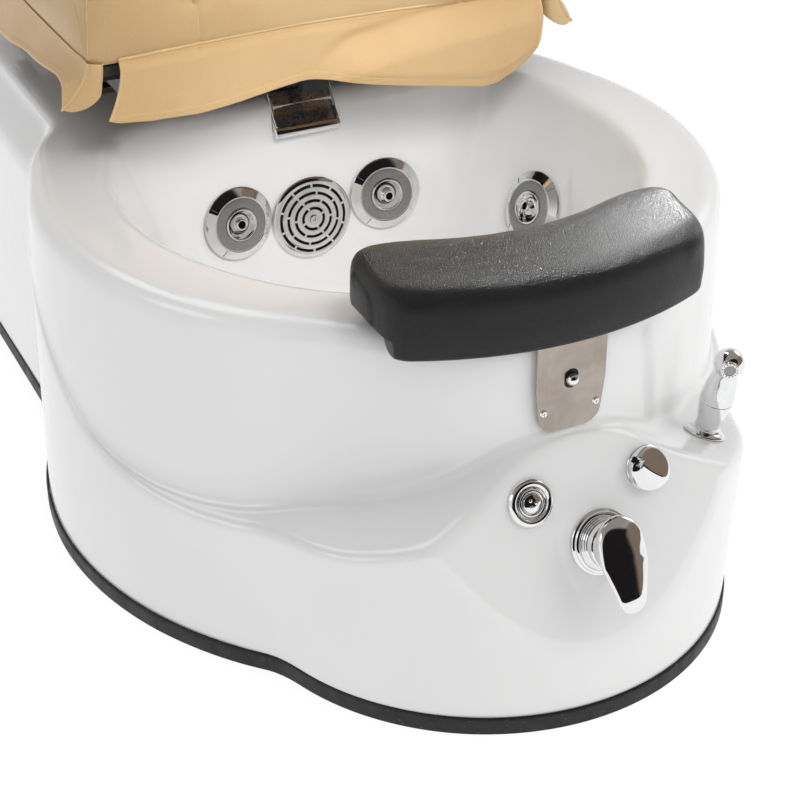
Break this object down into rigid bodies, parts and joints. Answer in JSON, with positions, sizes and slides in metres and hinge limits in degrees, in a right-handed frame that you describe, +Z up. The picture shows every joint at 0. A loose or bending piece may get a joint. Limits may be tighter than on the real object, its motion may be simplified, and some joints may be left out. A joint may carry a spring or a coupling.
{
  "type": "pedicure spa chair",
  "caption": "Pedicure spa chair: white moulded foot bath with jets, tan sliding seat with reclining back, black lifting footrest and chrome console fittings.",
  "frame": {"origin": "on the floor, directly under the centre of the foot bowl", "axes": "+Z up, -Y the way the bather faces (the console end), +X to the bather's left, which is the right-hand side seen from the console"},
  "size_m": [0.7898, 1.4031, 1.308],
  "materials": {
    "acrylic": "high gloss white sanitary acrylic",
    "trim_rubber": "satin black rubber",
    "frame_steel": "black powder coat",
    "chrome": "polished",
    "pipe_plastic": "PVC pipe",
    "black_plastic": "moulded",
    "brass": "cast",
    "hose_steel": "spiral-wound hose jacket",
    "pad_black": "integral-skin polyurethane foam, fine leather grain",
    "stainless": "brushed",
    "gear_grey": "grey casting",
    "tan_leather": "tan synthetic leather, fine grain",
    "tray_plastic": "white moulded tray"
  },
  "bodies": {
    "base": {"base_shell": "acrylic", "foot_bowl": "acrylic", "kick_trim": "trim_rubber", "base_frame": "frame_steel", "levelling_feet": "trim_rubber", "rear_access_panel": "acrylic", "fixing_screws": "chrome", "jet_bezels": "chrome", "jet_nozzles": "chrome", "jet_housings": "pipe_plastic", "suction_cover": "chrome", "suction_screw": "chrome", "suction_housing": "pipe_plastic", "waterfall_spout": "chrome", "waterfall_feed": "pipe_plastic", "drain_flange": "chrome", "drain_pipe": "pipe_plastic", "drain_pump": "black_plastic", "jet_pump": "black_plastic", "jet_pipework": "pipe_plastic", "mixer_escutcheon": "chrome", "mixer_valve_body": "brass", "air_button_bezel": "chrome", "air_switch_body": "black_plastic", "diverter_bezel": "chrome", "diverter_valve_body": "brass", "sprayer_dock": "chrome", "footrest_plate": "stainless", "seat_rails": "stainless", "slide_actuator": "black_plastic", "control_box": "black_plastic", "power_inlet": "black_plastic"},
    "mixer_swivel": {"mixer_collar": "chrome"},
    "mixer_handle": {"mixer_lever": "chrome"},
    "air_button": {"air_button": "chrome"},
    "diverter": {"diverter_knob": "chrome"},
    "sprayer": {"sprayer_handle": "chrome", "sprayer_head": "chrome", "sprayer_hose": "hose_steel"},
    "drain_stopper": {"drain_plug": "chrome"},
    "footrest": {"footrest_cushion": "pad_black", "footrest_board": "stainless", "footrest_tongue": "stainless"},
    "latch": {"footrest_latch": "chrome"},
    "seat": {"seat_slider": "frame_steel", "seat_pan": "frame_steel", "seat_cushion": "tan_leather", "seat_apron": "tan_leather", "seat_side_flaps": "tan_leather", "arm_posts": "frame_steel", "recline_gearmotor": "gear_grey"},
    "backrest": {"backrest_frame": "frame_steel", "backrest_shell": "tan_leather", "backrest_cushion": "tan_leather", "head_pillow": "tan_leather"},
    "arm_left": {"arm_left_frame": "frame_steel", "arm_left_pad": "tan_leather"},
    "arm_right": {"arm_right_frame": "frame_steel", "arm_right_pad": "tan_leather", "cup_tray": "tray_plastic"}
  },
  "joints": [
    {"name": "seat_slide", "type": "slide", "parent": "base", "child": "seat", "axis": [0, 1, 0], "range_m": [0, 0.14]},
    {"name": "backrest_recline", "type": "hinge", "parent": "seat", "child": "backrest", "pos_m": [0, 0.585, 0.545], "axis": [-1, 0, 0], "range_deg": [0, 36]},
    {"name": "arm_left_lift", "type": "hinge", "parent": "seat", "child": "arm_left", "pos_m": [-0.313, 0.55, 0.77], "axis": [-1, 0, 0], "range_deg": [0, 75]},
    {"name": "arm_right_lift", "type": "hinge", "parent": "seat", "child": "arm_right", "pos_m": [0.313, 0.55, 0.77], "axis": [-1, 0, 0], "range_deg": [0, 75]},
    {"name": "footrest_lift", "type": "slide", "parent": "base", "child": "footrest", "axis": [0, 0, 1], "range_m": [0, 0.05]},
    {"name": "latch_pull", "type": "slide", "parent": "base", "child": "latch", "axis": [0, -1, 0], "range_m": [0, 0.006], "stiffness_N_per_m": 800},
    {"name": "mixer_swivel", "type": "hinge", "parent": "base", "child": "mixer_swivel", "pos_m": [0.012, -0.486, 0.1812], "axis": [0, -0.9285, 0.3714], "range_deg": [-45, 45]},
    {"name": "mixer_lift", "type": "hinge", "parent": "mixer_swivel", "child": "mixer_handle", "pos_m": [0.012, -0.51385, 0.19234], "axis": [-1, 0, 0], "range_deg": [0, 6]},
    {"name": "air_button_press", "type": "slide", "parent": "base", "child": "air_button", "axis": [0, 0.9285, -0.3714], "range_m": [0, 0.003], "stiffness_N_per_m": 600},
    {"name": "diverter_turn", "type": "hinge", "parent": "base", "child": "diverter", "pos_m": [0.0728, -0.4638, 0.2366], "axis": [0, -0.9285, 0.3714], "range_deg": [-90, 90]},
    {"name": "sprayer_pull", "type": "slide", "parent": "base", "child": "sprayer", "axis": [0.0844, -0.2067, 0.9748], "range_m": [0, 0.15]},
    {"name": "drain_plug_lift", "type": "slide", "parent": "base", "child": "drain_stopper", "axis": [0, 0, 1], "range_m": [0, 0.01]}
  ]
}
